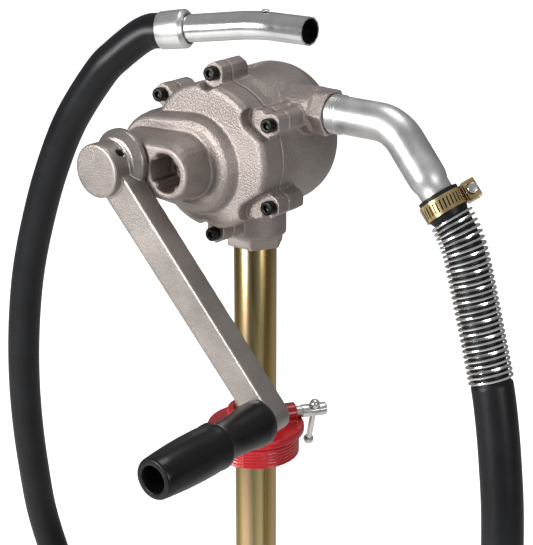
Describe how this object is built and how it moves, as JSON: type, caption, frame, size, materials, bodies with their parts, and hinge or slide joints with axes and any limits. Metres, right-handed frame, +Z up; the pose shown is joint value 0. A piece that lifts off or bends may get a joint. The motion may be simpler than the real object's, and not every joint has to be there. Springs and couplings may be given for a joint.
{
  "type": "rotary hand transfer pump",
  "caption": "Hand-cranked rotary drum pump with a bung adapter, suction tube, crank and grip, outlet elbow, spring-guarded hose and bent spout.",
  "frame": {"origin": "on the suction tube's axis, in the plane where the bung adapter's flange seats on the drum", "axes": "+Z up along the suction tube; the pump's front, with its crank, faces -Y; the outlet points to +X"},
  "size_m": [0.5235, 0.2844, 1.1154],
  "materials": {
    "cast_aluminium": "sand-blasted casting",
    "machined_steel": "machined",
    "black_oxide": "black oxide",
    "yellow_zinc": "yellow zinc plated",
    "bright_zinc": "bright zinc plated",
    "red_paint": "gloss paint",
    "black_plastic": "semi-gloss",
    "black_rubber": "satin",
    "bronze": "machined",
    "cast_iron": "machined",
    "carbon_vane": "ground"
  },
  "bodies": {
    "adapter": {"bung_adapter": "red_paint"},
    "clamp": {"clamp_screw": "bright_zinc"},
    "bar": {"tommy_bar": "bright_zinc"},
    "pump": {"front_cover": "cast_aluminium", "rear_casing": "cast_aluminium", "bearing_plate": "cast_iron", "cover_o_ring": "black_rubber", "cover_screw_1": "black_oxide", "cover_screw_2": "black_oxide", "cover_screw_3": "black_oxide", "cover_screw_4": "black_oxide", "cover_screw_5": "black_oxide", "cover_screw_6": "black_oxide", "crank_bush": "bronze", "shaft_seal": "black_rubber", "rotor_front_bush": "bronze", "rotor_rear_bush": "bronze", "suction_tube_upper": "yellow_zinc", "tube_coupling": "yellow_zinc", "suction_tube_lower": "yellow_zinc", "foot_strainer": "black_plastic", "outlet_elbow": "bright_zinc", "hose_clamp_band": "yellow_zinc", "hose_clamp_housing": "yellow_zinc", "hose_clamp_screw": "bright_zinc", "spring_guard": "bright_zinc", "hose": "black_rubber", "ferrule": "bright_zinc", "nozzle_spout": "bright_zinc", "spout_rivet": "bright_zinc"},
    "crank": {"crank_arm": "cast_aluminium", "hub_set_screw": "black_oxide", "crank_shaft": "machined_steel", "crank_gear": "machined_steel", "grip_spindle": "bright_zinc", "grip_washer": "bright_zinc"},
    "rotor_set": {"rotor": "cast_iron", "rotor_shaft": "machined_steel", "rotor_gear": "machined_steel", "vane_1": "carbon_vane", "vane_2": "carbon_vane", "vane_3": "carbon_vane", "vane_4": "carbon_vane"},
    "handle": {"grip": "black_plastic"}
  },
  "joints": [
    {"name": "height_slide", "type": "slide", "parent": "adapter", "child": "pump", "axis": [0, 0, 1], "range_m": [-0.11, 0.3]},
    {"name": "crank_turn", "type": "hinge", "parent": "pump", "child": "crank", "pos_m": [-0.043, -0.09, 0.198], "axis": [0, -1, 0], "continuous": true},
    {"name": "rotor_turn", "type": "hinge", "parent": "pump", "child": "rotor_set", "pos_m": [-0.007, 0, 0.198], "axis": [0, -1, 0], "continuous": true},
    {"name": "grip_spin", "type": "hinge", "parent": "crank", "child": "handle", "pos_m": [0.08055, -0.14, 0.06504], "axis": [0, -1, 0], "continuous": true},
    {"name": "clamp_turn", "type": "hinge", "parent": "adapter", "child": "clamp", "pos_m": [0, 0, 0.009], "axis": [0.5736, 0.8192, 0], "continuous": true},
    {"name": "bar_slide", "type": "slide", "parent": "clamp", "child": "bar", "axis": [0.3069, -0.2149, 0.9272], "range_m": [0, 0.021]}
  ],
  "couplings": [
    {"joint": "rotor_turn", "follows": "crank_turn", "ratio": -0.8}
  ]
}
